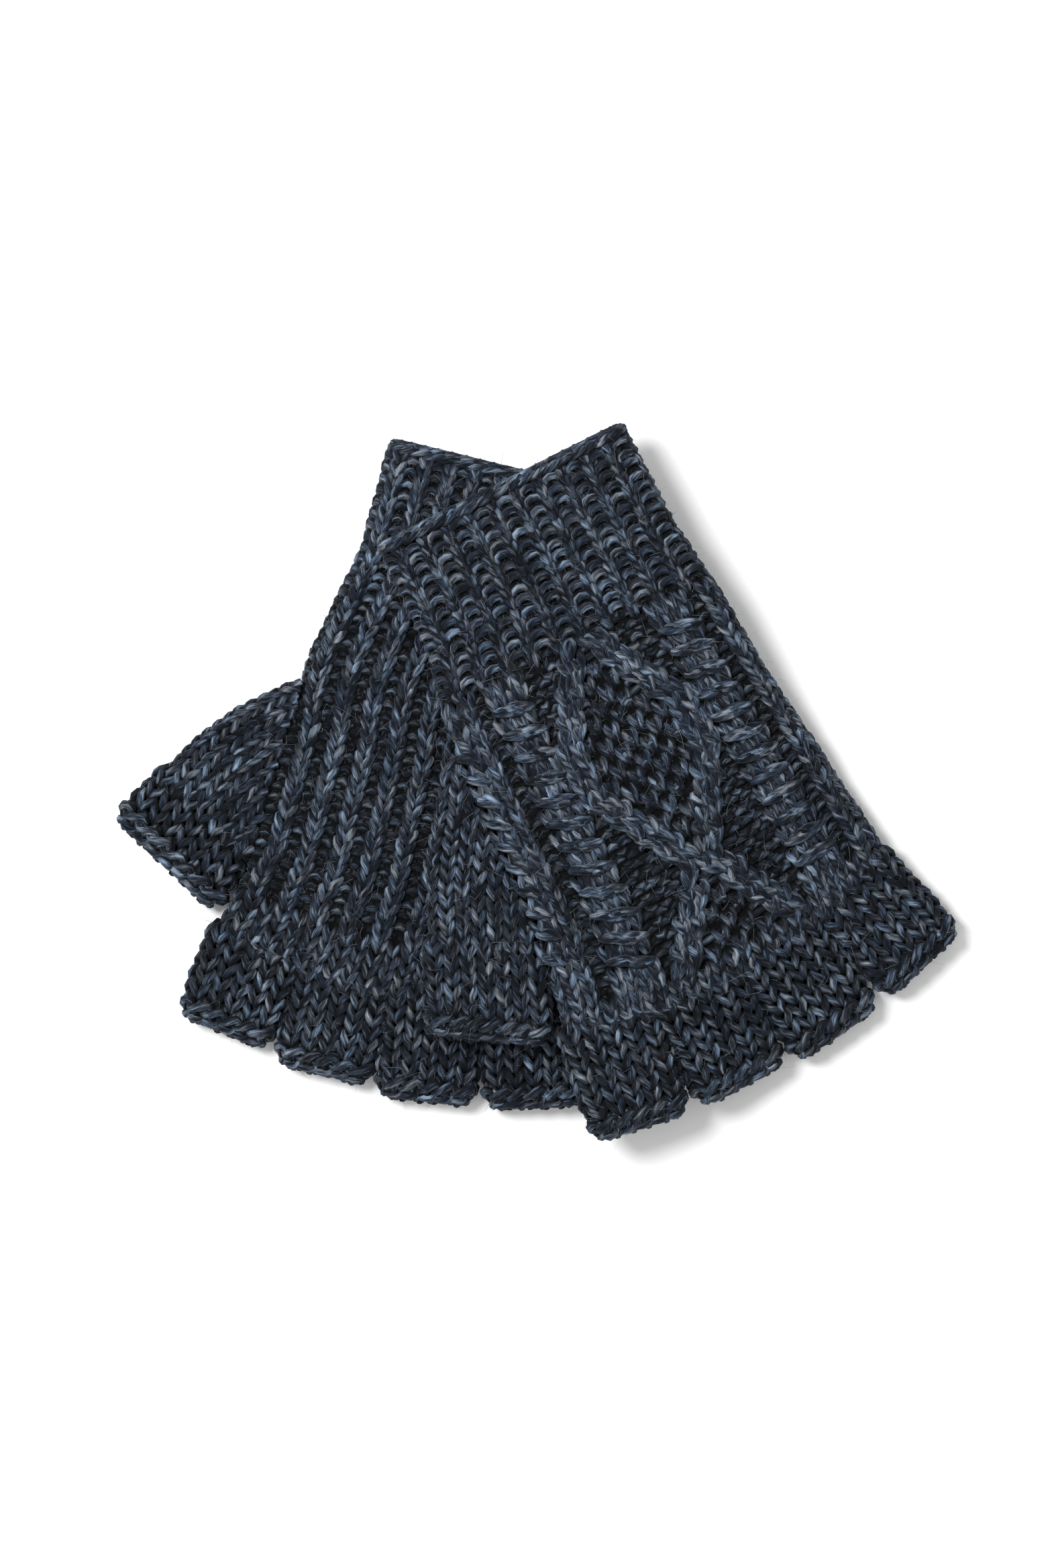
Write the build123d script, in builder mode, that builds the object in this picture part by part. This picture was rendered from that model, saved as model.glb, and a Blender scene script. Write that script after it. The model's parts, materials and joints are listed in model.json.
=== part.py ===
"""A pair of hand-knitted fingerless gloves, lying flat as they are stored.

The right-hand glove lies on the table, palm up. The left-hand glove lies over part of it, back up, and
drapes down to the table past the edge of the one below. Millimetres, +Z up, the origin at the middle of
the pair on the table.

Each glove is drawn in a frame of its own: +Y runs from the cuff's edge to the fingers, +X to the thumb.
"""

import os
from dataclasses import dataclass
from math import cos, hypot, radians, sin, sqrt

from build123d import *

# ---------------------------------------------------------------- knitted fabric and its thicknesses
THICKNESS = 12.5  # a glove lying flat, both layers and the loft between them
WALL = 3.0  # one layer of the fabric
STALL_THICKNESS = 11.5  # the fingers and thumb are plain stocking stitch, a little thinner
STALL_WALL = 2.5
EDGE_ROLL = 0.5  # how far a cast-on or bound-off edge stands out past the fabric
JOIN_GAP = 0.4  # left open between two pieces that bend against each other
LAYER_GAP = 0.5  # between the two gloves

# ---------------------------------------------------------------- the outline, shared by both gloves
CUFF_HALF_WIDTH = 40.0
CUFF_LENGTH = 52.0
CAST_ON = 3.5  # height of the cast-on edge
BIND_OFF = 3.5  # height of a bound-off edge
CUFF_THUMB_SIDE = [(40.0, 0.0), (41.0, 36.0), (45.0, CUFF_LENGTH)]
CUFF_LITTLE_SIDE = [(-43.0, CUFF_LENGTH), (-40.5, 34.0), (-40.0, 0.0)]
CROTCH = (51.5, 131.0)  # where the thumb leaves the hand
HAND_THUMB_SIDE = [(45.0, CUFF_LENGTH), (48.5, 68.0), CROTCH]
INDEX_SIDE = [(53.5, 146.0)]
LITTLE_SIDE = [(-53.0, 143.0), (-49.0, 110.0), (-45.0, 81.0)]

STALL_WIDTH = 27.0


@dataclass
class Finger:
    """One finger's stall: the middle of its root, and its slant from +Y towards the thumb."""

    name: str
    root: tuple
    slant: float

    @property
    def along(self):
        return sin(radians(self.slant)), cos(radians(self.slant))

    def at(self, across, along):
        """A point of the stall in the glove's frame, from its place across and along the stall."""
        dx, dy = self.along
        return self.root[0] + across * dy + along * dx, self.root[1] - across * dx + along * dy


FINGERS = [
    Finger("index", (43.2, 157.0), 8.5),
    Finger("middle", (15.3, 161.0), 0.5),
    Finger("ring", (-12.6, 160.0), -7.5),
    Finger("little", (-40.3, 153.5), -16.0),
]

# ---------------------------------------------------------------- how the pair lies
OVERHANG = THICKNESS + LAYER_GAP  # height of the upper glove's underside where it lies on the lower one
FOLD_START = 25.0  # along the drape direction, where the upper glove starts to fall
FOLD_RUN = 75.0  # level distance over which it falls to the table
FOLD_TURN = -7.2  # direction in which it falls, in degrees from +X
REACH = 220.0  # longer than the pair is, for the solids that cut
LIFT = 120.0  # travel of the upper glove when it is lifted off


@dataclass
class Glove:
    """One glove: its hand, its place on the table, its lie, and how its thumb is spread."""

    hand: str
    place: tuple
    turn: float  # of the glove's frame about +Z
    draped: bool
    upper: str  # the panel that faces up
    lower: str
    apex: tuple  # where the thumb gusset starts on the glove's side
    bulge: list  # the gusset's outer edge
    thumb_root: tuple  # its outer end; the inner end is the crotch
    thumb_tip: tuple  # outer corner
    thumb_tip_inner: tuple
    stall_lengths: tuple  # from the index to the little finger
    folds_down: tuple  # the pieces that the other glove keeps from folding up

    @property
    def plane(self):
        turn = radians(self.turn)
        return Plane(origin=(*self.place, 0), x_dir=(cos(turn), sin(turn), 0), z_dir=(0, 0, 1))


RIGHT = Glove(
    "right", (-3.4, 92.9), 166.2, False, "palm", "back",
    apex=(48.83, 75.0), bulge=[(66.4, 89.5), (75.9, 101.2)], thumb_root=(82.7, 113.0),
    thumb_tip=(93.0, 129.0), thumb_tip_inner=(58.5, 147.0), stall_lengths=(28.5, 30.0, 30.5, 32.0), folds_down=("ring", "little", "cuff"),
)
LEFT = Glove(
    "left", (-9.8, 88.3), 206.7, True, "back", "palm",
    apex=(46.3, 58.0), bulge=[(60.0, 78.0), (71.0, 94.0)], thumb_root=(80.0, 112.5),
    thumb_tip=(92.0, 136.5), thumb_tip_inner=(61.0, 152.5), stall_lengths=(33.0, 31.5, 32.5, 33.0), folds_down=(),
)


def fall(across):
    """How high the upper glove's underside lies, from the distance along the drape direction.

    Level on the lower glove, then two equal arcs, over and back, down to the table.
    """
    half = FOLD_RUN / 2
    radius = (half**2 + (OVERHANG / 2) ** 2) / OVERHANG
    run = min(max(across - FOLD_START, 0.0), FOLD_RUN)
    if run < half:
        return OVERHANG - radius + sqrt(radius**2 - run**2)
    return radius - sqrt(radius**2 - (FOLD_RUN - run) ** 2)


def layer(glove, low, high):
    """All the space between two heights above the surface that a glove lies on."""
    if not glove.draped:
        with BuildPart(Plane.XY.offset(low)) as slab:
            Box(2 * REACH, 2 * REACH, high - low, align=(Align.CENTER, Align.CENTER, Align.MIN))
        return slab.part
    turn = radians(FOLD_TURN)
    across = Plane(origin=(0, 0, 0), x_dir=(cos(turn), sin(turn), 0), z_dir=(sin(turn), -cos(turn), 0))
    middle, end = FOLD_START + FOLD_RUN / 2, FOLD_START + FOLD_RUN
    with BuildPart() as drape:
        with BuildSketch(across):
            with BuildLine():
                edges = []
                for lift in (low, high):
                    level = Line((-REACH, OVERHANG + lift), (FOLD_START, OVERHANG + lift))
                    over = TangentArc(level @ 1, (middle, OVERHANG / 2 + lift), tangent=level % 1)
                    back = TangentArc(over @ 1, (end, lift), tangent=over % 1)
                    flat = Line(back @ 1, (REACH, lift))
                    edges.append((level @ 0, flat @ 1))
                Line(edges[0][0], edges[1][0])
                Line(edges[0][1], edges[1][1])
            make_face()
        extrude(amount=REACH, both=True)
    return drape.part


def block(glove, outline, low, high):
    """A flat outline in the glove's frame, thickened between two heights of its lie."""
    lie = layer(glove, low, high)
    with BuildPart() as piece:
        with BuildSketch(glove.plane):
            with BuildLine():
                Polyline(*outline, close=True)
            make_face()
        extrude(amount=OVERHANG + 2 * THICKNESS)
        add(lie, mode=Mode.INTERSECT)
    return piece.part


def shell(glove, outline, hollow, low, high, floor, roof):
    """A block with a hollow of another outline cut out of it, between the floor's and the roof's height."""
    body, room = block(glove, outline, low, high), block(glove, hollow, floor, roof)
    with BuildPart() as piece:
        add(body)
        add(room, mode=Mode.SUBTRACT)
    return piece.part


def shifted(points, dx, dy=0.0):
    return [(x + dx, y + dy) for x, y in points]


def band(near, far):
    """The cuff's outline between two distances from its edge, the sides cut off where it ends."""

    def side(points, y):
        (x0, y0), (x1, y1) = next(
            pair for pair in zip(points, points[1:]) if pair[0][1] <= y <= pair[1][1] or y < pair[0][1]
        )
        return x0 + (x1 - x0) * (y - y0) / (y1 - y0)

    thumb, little = CUFF_THUMB_SIDE, CUFF_LITTLE_SIDE[::-1]
    inner = [(x, y) for x, y in thumb if near < y < far]
    outer = [(x, y) for x, y in CUFF_LITTLE_SIDE if near < y < far]
    return [
        (side(thumb, near), near), *inner, (side(thumb, far), far),
        (side(little, far), far), *outer, (side(little, near), near),
    ]


def inset(points, wall, near, far):
    """An outline of the cuff taken in by a wall at its sides and run out past both its ends."""
    taken_in = [(x - wall if x > 0 else x + wall, y) for x, y in points]
    low, high = min(y for _, y in points), max(y for _, y in points)
    return [(x, y - near if y == low else y + far if y == high else y) for x, y in taken_in]


def cuff(glove):
    """The ribbed cuff, a tube open at both ends."""
    outline = band(CAST_ON, CUFF_LENGTH - JOIN_GAP)
    hollow = inset(outline, WALL, 1.0, 1.0)
    return shell(glove, outline, hollow, 0, THICKNESS, WALL, THICKNESS - WALL)


def cast_on_edge(glove):
    """The corded edge of the first row, round the cuff's mouth."""
    thumb, little = CUFF_HALF_WIDTH + EDGE_ROLL, -CUFF_HALF_WIDTH - EDGE_ROLL
    outline = [(thumb, 0), (thumb, CAST_ON), (little, CAST_ON), (little, 0)]
    hollow = inset(outline, WALL + EDGE_ROLL, 1.0, 1.0)
    return shell(glove, outline, hollow, 0, THICKNESS, WALL, THICKNESS - WALL)


def knuckles(beyond=0.0):
    """The line across the finger roots, from the index's outer side to the little finger's."""
    half = STALL_WIDTH / 2
    return [finger.at(side, beyond) for finger in FINGERS for side in (half, -half)]


def thumb_side(glove):
    """The hand's side towards the thumb, from the cuff to the crotch, with the gusset's apex on it."""
    return sorted([*HAND_THUMB_SIDE, glove.apex], key=lambda point: point[1])


def hand_outline(glove):
    return [*thumb_side(glove), *INDEX_SIDE, *knuckles(), *LITTLE_SIDE, CUFF_LITTLE_SIDE[0]]


def hand_hollow(glove):
    """The room for the hand: walled at both sides, open to the cuff, the fingers and the thumb."""
    apex_x, apex_y = glove.apex
    crotch_x, crotch_y = CROTCH
    roots = knuckles(beyond=1.0)
    return [
        (CUFF_THUMB_SIDE[-1][0] - WALL, CUFF_LENGTH - 1),
        (apex_x - WALL, apex_y), (apex_x + WALL, apex_y + WALL),
        (crotch_x + WALL, crotch_y - 2 * WALL), (crotch_x - WALL, crotch_y),
        *shifted(INDEX_SIDE, -WALL),
        (roots[0][0] - WALL, roots[0][1]), *roots[1:-1], (roots[-1][0] + WALL, roots[-1][1]),
        *shifted(LITTLE_SIDE, WALL),
        (CUFF_LITTLE_SIDE[0][0] + WALL, CUFF_LENGTH - 1),
    ]


def hand_panel(glove, upper):
    """The upper or the lower half of the hand: a panel with half of both side walls."""
    middle = THICKNESS / 2
    low, high = (middle, THICKNESS) if upper else (0, middle)
    floor, roof = (middle - 1, THICKNESS - WALL) if upper else (WALL, middle + 1)
    return shell(glove, hand_outline(glove), hand_hollow(glove), low, high, floor, roof)


def finger_forks(glove):
    """The few stitches cast on between two fingers, which join the palm to the back there."""
    half, deep = STALL_WALL, 3.5
    roots = knuckles()
    joined = []
    for one, other in ((roots[1], roots[2]), (roots[3], roots[4]), (roots[5], roots[6])):
        x, y = (one[0] + other[0]) / 2, min(one[1], other[1]) - 0.2
        corners = [(x + half, y), (x - half, y), (x - half, y - deep), (x + half, y - deep)]
        joined.append(block(glove, corners, WALL, THICKNESS - WALL))
    with BuildPart() as forks:
        add(joined)
    return forks.part


def unit(start, end):
    length = hypot(end[0] - start[0], end[1] - start[1])
    return (end[0] - start[0]) / length, (end[1] - start[1]) / length


def moved(point, direction, distance):
    return point[0] + direction[0] * distance, point[1] + direction[1] * distance


def thumb_gusset(glove):
    """The wedge of stitches that widens from the side of the hand to the root of the thumb."""
    seam = [point for point in thumb_side(glove)[::-1] if point[1] > glove.apex[1]]
    outline = [glove.apex, *glove.bulge, glove.thumb_root, *seam]
    side, forward = unit(glove.thumb_root, CROTCH), unit(glove.thumb_root, glove.thumb_tip)
    outer, inner = moved(glove.thumb_root, side, WALL), moved(CROTCH, side, -WALL)
    hollow = [
        (seam[-1][0] - WALL, glove.apex[1] + 3 * WALL), (glove.apex[0] + 2 * WALL, glove.apex[1] + 3 * WALL),
        *[moved(point, side, WALL) for point in glove.bulge],
        outer, moved(outer, forward, 1.0), moved(inner, forward, 1.0), inner,
        (CROTCH[0] - WALL / 2, CROTCH[1] - 2 * WALL),
    ]
    return shell(glove, outline, hollow, 0, THICKNESS, WALL, THICKNESS - WALL)


def tube(glove, corners, near, far, swell):
    """A stretch of a stall between two shares of its length, swollen out past the corners given.

    The corners are the root's outer and inner end, then the tip's inner and outer end.
    """
    root_outer, root_inner, tip_inner, tip_outer = corners

    def ring(extra, start, stop):
        points = []
        for share, order in ((start, (1, -1)), (stop, (-1, 1))):
            outer = [a + (b - a) * share for a, b in zip(root_outer, tip_outer)]
            inner = [a + (b - a) * share for a, b in zip(root_inner, tip_inner)]
            ends = {1: (outer, inner), -1: (inner, outer)}
            points += [moved(ends[end][0], unit(ends[end][1], ends[end][0]), extra) for end in order]
        return points

    past = 1.0 / hypot(tip_outer[0] - root_outer[0], tip_outer[1] - root_outer[1])
    return shell(
        glove, ring(swell, near, far), ring(-STALL_WALL, near - past, far + past), 0, STALL_THICKNESS + swell,
        STALL_WALL, STALL_THICKNESS - STALL_WALL,
    )


def finger_corners(glove, finger):
    half, length = STALL_WIDTH / 2, glove.stall_lengths[FINGERS.index(finger)]
    return [finger.at(half, 0), finger.at(-half, 0), finger.at(-half, length), finger.at(half, length)]


def thumb_corners(glove):
    """The thumb stall's corners. Its root keeps clear of the crotch, so that it can fold."""
    side = unit(CROTCH, glove.thumb_root)
    return [glove.thumb_root, moved(CROTCH, side, 1.5), glove.thumb_tip_inner, glove.thumb_tip]


def edge_share(corners):
    """Where the bound-off edge starts, as a share of the stall's length."""
    return 1 - BIND_OFF / hypot(corners[3][0] - corners[0][0], corners[3][1] - corners[0][1])


def stall(glove, corners):
    """The tube of plain knitting round one finger or the thumb."""
    gap = JOIN_GAP * (1 - edge_share(corners)) / BIND_OFF
    return tube(glove, corners, gap, edge_share(corners), 0.0)


def bind_off(glove, corners):
    """The chained last row round a stall's open end."""
    return tube(glove, corners, edge_share(corners), 1.0, EDGE_ROLL)


# ---------------------------------------------------------------- joints
def in_row(glove, point):
    """A point of the glove's frame in the pair's, on the table."""
    turn = radians(glove.turn)
    return (
        glove.place[0] + point[0] * cos(turn) - point[1] * sin(turn),
        glove.place[1] + point[0] * sin(turn) + point[1] * cos(turn),
    )


def underside(glove, point):
    """Height of a glove's underside at a point of the pair's frame."""
    turn = radians(FOLD_TURN)
    return fall(point[0] * cos(turn) + point[1] * sin(turn)) if glove.draped else 0.0


def fold_line(glove, start, end, down):
    """The hinge of a piece that folds about a level line between two points of its root.

    The line lies along the fabric's upper face, at its highest, or along the underside if the piece folds
    down. A positive turn lifts the piece.
    """
    one, other = in_row(glove, start), in_row(glove, end)
    middle = ((one[0] + other[0]) / 2, (one[1] + other[1]) / 2)
    heights = [underside(glove, point) for point in (one, middle, other)]
    height = min(heights) if down else max(heights) + THICKNESS
    direction = unit(other, one)
    return (*middle, height), (*direction, 0.0)


def joints():
    """Every hinge as (name, parent, child, a point on it in mm, its axis, its range in degrees)."""
    found = []
    for glove in (RIGHT, LEFT):
        hand = f"{glove.hand}_hand"
        lines = {"cuff": (CUFF_LITTLE_SIDE[0], CUFF_THUMB_SIDE[-1], 60)}
        outer, inner = thumb_corners(glove)[:2]
        lines["thumb"] = (outer, inner, 70)
        for finger in FINGERS:
            outer, inner = finger_corners(glove, finger)[:2]
            lines[finger.name] = (outer, inner, 80)
        for name, (start, end, reach) in lines.items():
            down = name in glove.folds_down
            point, axis = fold_line(glove, start, end, down)
            limits = (-reach, 0) if down else (0, reach)
            found.append((f"{glove.hand}_{name}_fold", hand, f"{glove.hand}_{name}", point, axis, limits))
    return found


def pieces(glove):
    """Every sub-part of one glove, by name."""
    made = {
        "cast_on_edge": cast_on_edge(glove),
        "cuff_rib": cuff(glove),
        f"{glove.upper}_panel": hand_panel(glove, upper=True),
        f"{glove.lower}_panel": hand_panel(glove, upper=False),
        "finger_forks": finger_forks(glove),
        "thumb_gusset": thumb_gusset(glove),
        "thumb_stall": stall(glove, thumb_corners(glove)),
        "thumb_bind_off": bind_off(glove, thumb_corners(glove)),
    }
    for finger in FINGERS:
        made[f"{finger.name}_stall"] = stall(glove, finger_corners(glove, finger))
        made[f"{finger.name}_bind_off"] = bind_off(glove, finger_corners(glove, finger))
    return made


def main():
    os.makedirs("parts", exist_ok=True)
    for glove in (RIGHT, LEFT):
        for name, part in pieces(glove).items():
            part.label = f"{glove.hand}_{name}"
            export_step(part, f"parts/{part.label}.step")


main()
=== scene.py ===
import json

import bpy
import numpy as np
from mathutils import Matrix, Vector


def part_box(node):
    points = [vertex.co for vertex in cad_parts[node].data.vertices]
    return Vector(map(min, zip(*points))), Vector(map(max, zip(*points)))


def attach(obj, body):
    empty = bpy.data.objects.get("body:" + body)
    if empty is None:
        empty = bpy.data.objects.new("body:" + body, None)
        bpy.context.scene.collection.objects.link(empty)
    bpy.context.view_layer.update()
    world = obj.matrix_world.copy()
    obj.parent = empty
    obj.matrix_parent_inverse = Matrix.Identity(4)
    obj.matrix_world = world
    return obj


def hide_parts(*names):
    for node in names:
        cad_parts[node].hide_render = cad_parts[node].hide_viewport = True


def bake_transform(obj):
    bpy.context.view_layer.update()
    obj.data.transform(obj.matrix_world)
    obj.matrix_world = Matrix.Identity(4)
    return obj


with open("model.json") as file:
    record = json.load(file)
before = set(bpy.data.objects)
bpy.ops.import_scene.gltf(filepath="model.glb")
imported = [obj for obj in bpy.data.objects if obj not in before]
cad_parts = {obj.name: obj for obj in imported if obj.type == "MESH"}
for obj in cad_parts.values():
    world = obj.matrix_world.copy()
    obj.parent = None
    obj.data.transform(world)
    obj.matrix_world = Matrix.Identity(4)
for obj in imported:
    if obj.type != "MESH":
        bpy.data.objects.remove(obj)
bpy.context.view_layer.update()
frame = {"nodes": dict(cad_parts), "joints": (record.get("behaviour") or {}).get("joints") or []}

# ------------------------------------------------------------------------------------------------- cuffs
# Each cuff is a tube of one-by-one rib, knitted round and round from the cast-on edge up in a thick marled
# wool, and the hand is knitted on from its last row. It lies flat, so the tube turns over at both sides. The
# lower glove's knit columns stand out a little, and the upper one's draw in between broad purl columns.

MM = 0.001
joints = {joint["name"]: joint for joint in frame["joints"]}


class Lie:
    """A flat set of axes on the table: a middle, a way across towards the thumb, and a way along."""

    def __init__(self, middle, across):
        self.middle = np.array(middle[:2], float)
        self.across = np.array(across[:2], float) / np.hypot(*across[:2])
        self.along = np.array([-self.across[1], self.across[0]])

    def inward(self, xy):
        """Places in the pair's frame as places across and along."""
        away = xy - self.middle
        return away @ self.across, away @ self.along

    def outward(self, x, y):
        """Places across and along as places in the pair's frame."""
        return self.middle + x[..., None] * self.across + y[..., None] * self.along


def solid(node):
    """A CAD solid's corners, and its edges as pairs of corners."""
    mesh = frame["nodes"][node].data
    corners, pairs = np.empty(len(mesh.vertices) * 3), np.empty(len(mesh.edges) * 2, np.int32)
    mesh.vertices.foreach_get("co", corners)
    mesh.edges.foreach_get("vertices", pairs)
    return corners.reshape(-1, 3), pairs.reshape(-1, 2)


def span(lie, nodes, y):
    """The least and the greatest place across of some solids at each place along.

    Every edge of the solids is cut by the line at y, and the outermost cuts are kept.
    """
    low, high = np.full(len(y), np.inf), np.full(len(y), -np.inf)
    for node in nodes:
        corners, pairs = solid(node)
        across, along = lie.inward(corners[:, :2])
        (xa, xb), (ya, yb) = across[pairs.T], along[pairs.T]
        rise = np.where(np.abs(yb - ya) < 1e-9, np.nan, yb - ya)
        share = (y[:, None] - ya) / rise
        cut = np.where((share >= 0) & (share <= 1), xa + (xb - xa) * share, np.nan)
        low = np.fmin(low, np.nanmin(np.where(np.isnan(cut), np.inf, cut), 1))
        high = np.fmax(high, np.nanmax(np.where(np.isnan(cut), -np.inf, cut), 1))
    return low, high


class Outline:
    """The two sides of some solids along a lie, read at 60 places, as a function of the place along."""

    def __init__(self, lie, nodes, start, end):
        self.y = np.linspace(start, end, 60)
        self.low, self.high = span(lie, nodes, self.y)

    def __call__(self, y):
        return np.interp(y, self.y, self.low), np.interp(y, self.y, self.high)


def glove_lie(hand):
    """A glove's own axes, from the fold of its cuff: the origin is the middle of the cuff's edge."""
    fold = joints[f"{hand}_cuff_fold"]
    lie = Lie(fold["pos_m"], -np.array(fold["axis"]))
    corners, _ = solid(f"{hand}_cast_on_edge")
    across, along = lie.inward(corners[:, :2])
    lie.middle = lie.middle + (across.min() + across.max()) / 2 * lie.across + along.min() * lie.along
    return lie


lies = {hand: glove_lie(hand) for hand in ("right", "left")}
cuff_end = {
    hand: lies[hand].inward(np.array(joints[f"{hand}_cuff_fold"]["pos_m"][:2]))[1] for hand in lies
}
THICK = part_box("right_cuff_rib")[1].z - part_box("right_cuff_rib")[0].z  # a glove lying flat
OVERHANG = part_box("left_cast_on_edge")[0].z  # height of the upper glove where it lies on the lower one
DRAPE_START, DRAPE_RUN, DRAPE_TURN = 25 * MM, 75 * MM, np.radians(-7.2)  # where it falls, how far, which way


def underside(hand, xy):
    """Height of a glove's underside, how fast it rises along the drape, and the drape's direction.

    The lower glove lies flat. The upper one is level on it, then falls by two equal arcs, over and back.
    """
    way = np.array([np.cos(DRAPE_TURN), np.sin(DRAPE_TURN)])
    if hand == "right":
        return np.zeros(xy.shape[:-1]), np.zeros(xy.shape[:-1]), way
    half = DRAPE_RUN / 2
    radius = (half**2 + (OVERHANG / 2) ** 2) / OVERHANG
    run = np.clip(xy @ way - DRAPE_START, 0, DRAPE_RUN)
    over = OVERHANG - radius + np.sqrt(radius**2 - np.minimum(run, half) ** 2)
    left = np.minimum(DRAPE_RUN - run, half)
    back = radius - np.sqrt(radius**2 - left**2)
    slope = -np.where(run < half, run, left) / radius
    return np.where(run < half, over, back), slope, way


def laid(hand, lie, x, y, up, thick=THICK):
    """Places across, along and above the glove's middle layer, as points on its lie in the pair's frame."""
    xy = lie.outward(x, y)
    height, slope, way = underside(hand, xy)
    tip = up / np.sqrt(1 + slope**2)
    xy = xy - (tip * slope)[..., None] * way
    return np.concatenate([xy, (height + thick / 2 + tip)[..., None]], -1)


def round_section(s, low, high, turn_low, turn_high, radius):
    """A flat tube's section, followed from the middle of its low side over the top to the high side.

    A quarter circle, a straight run and a quarter circle, by arc length s; past either end the section goes
    on under the tube, as its mirror image. Returns across, up, and the outward normal's two parts.
    """
    quarter = np.pi / 2
    flat = high - low - turn_low - turn_high
    total = quarter * (turn_low + turn_high) + flat
    under = (s < 0) | (s > total)
    s = np.where(s < 0, -s, s)
    s = np.where(s > total, 2 * total - s, s)
    before, after = s < quarter * turn_low, s > quarter * turn_low + flat
    bend_low = np.where(before, s / np.maximum(turn_low, 1e-6), quarter)
    bend_high = np.where(after, (total - s) / np.maximum(turn_high, 1e-6), quarter)
    x = low + turn_low * (1 - np.cos(bend_low)) + np.clip(s - quarter * turn_low, 0, flat)
    x = np.where(after, high - turn_high * (1 - np.cos(bend_high)), x)
    up = np.where(before, radius - turn_low * (1 - np.sin(bend_low)), radius)
    up = np.where(after, radius - turn_high * (1 - np.sin(bend_high)), up)
    nx = np.where(before, -np.cos(bend_low), np.where(after, np.cos(bend_high), 0))
    nz = np.where(before, np.sin(bend_low), np.where(after, np.sin(bend_high), 1))
    sign = np.where(under, -1, 1)
    return x, up * sign, nx, nz * sign, total


STEPS = 14  # lengths of yarn in one stitch
LEAN, RISE, DEPTH = 0.27, 3.25 * MM, 0.8 * MM  # how far a loop's legs lean, half its height, its depth
YARN, FLATTEN = 1.10 * MM, 0.88  # the yarn's radius, and how much of it is left square to the fabric
RIM = 0.75 * MM  # from a solid's side to the middle layer there
luck = np.random.default_rng(11)


def loops(face, tilt, lift, low_rise, head_up=0.0):
    """The path of one yarn through every stitch of every row, before it is laid on the glove.

    Through a stitch t goes from -pi to pi: across = t / (2 pi) + lean sin(2 t) + tilt (1 - cos t) / 2
    stitches, along = -rise cos(t), with the loops' heads towards the cuff's mouth, and up = -face depth
    cos(2 t) + lift, and for purl + head_up cos(t). face is 1 for knit and -1 for purl. The tables are rows by
    stitches, blended from stitch to stitch, and a lifted or near length of yarn is a little thicker.
    """
    rows, stitches = face.shape
    t = (np.arange(STEPS) / STEPS * 2 - 1) * np.pi
    each = np.linspace(0, 1, STEPS, endpoint=False)

    def smooth(table):
        """A table's values carried along the yarn, blended over the quarter stitch at each join."""
        after = np.concatenate([table[:, 1:], table[:, -1:]], 1)[..., None]
        before = np.concatenate([table[:, :1], table[:, :-1]], 1)[..., None]
        here = table[..., None]
        from_left = np.clip(0.5 - each / 0.4, 0, 0.5)
        from_right = np.clip(0.5 - (1 - each) / 0.4, 0, 0.5)
        return here * (1 - from_left - from_right) + before * from_left + after * from_right

    def luck_of(size):
        """An uneven hand: a different small amount for each stitch."""
        return luck.normal(0, size, (rows, stitches))

    rise = RISE * (1 + luck_of(0.05)) * (1 - low_rise)
    column = np.arange(stitches)[None, :, None] + 0.5
    across = column + t / (2 * np.pi) + LEAN * np.sin(2 * t) * (1 - 0.5 * low_rise[..., None])
    across = across + (tilt + luck_of(0.04))[..., None] * (1 - np.cos(t)) / 2
    along = -rise[..., None] * np.cos(t) + smooth(luck_of(0.16 * MM))
    loft = -smooth(face) * np.cos(2 * t)
    up = DEPTH * loft + smooth(lift) + smooth(luck_of(0.12 * MM))
    up = up + head_up * smooth(np.clip(-face, 0, 1)) * np.cos(t)
    width = YARN * (1 + 0.14 * loft + 0.15 * np.maximum(smooth(lift), 0) / MM)
    flat = (rows, stitches * STEPS)
    return across.reshape(flat), along.reshape(flat), up.reshape(flat), width.reshape(flat)


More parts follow.
